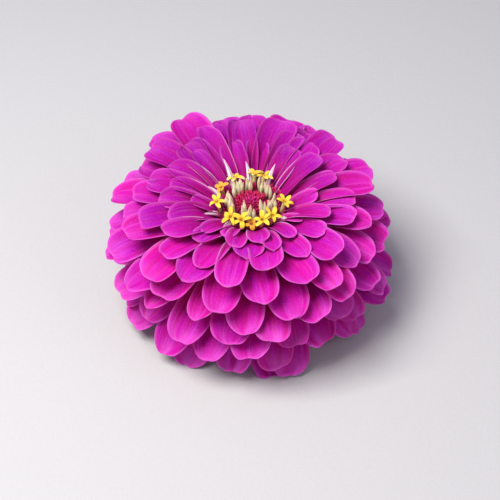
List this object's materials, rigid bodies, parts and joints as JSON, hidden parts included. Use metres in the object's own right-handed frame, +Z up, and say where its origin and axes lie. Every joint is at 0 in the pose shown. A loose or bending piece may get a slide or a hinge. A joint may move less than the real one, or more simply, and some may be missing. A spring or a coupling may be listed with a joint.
{
  "type": "zinnia flower",
  "caption": "Double zinnia head resting face up: layered petals droop round a raised disc of star florets, with green bracts and a short cut stem beneath.",
  "frame": {"origin": "centre of the flower head's box, on the surface that its lowest petals rest on", "axes": "+Z up out of the flower's face, -Y towards the viewer of the picture, +X to that viewer's right"},
  "size_m": [0.1018, 0.1022, 0.0514],
  "materials": {
    "petals": "velvety magenta petal, paler at the margin and underside",
    "open_florets": "soft bright yellow floret",
    "closed_florets": "soft cream green floret with a pink tip",
    "centre_chaff": "papery crimson chaff",
    "stem_and_bracts": "matt green bracts and hairy stem"
  },
  "bodies": {
    "root": {"petals": "petals", "open_florets": "open_florets", "closed_florets": "closed_florets", "centre_chaff": "centre_chaff", "stem_and_bracts": "stem_and_bracts"}
  },
  "joints": []
}
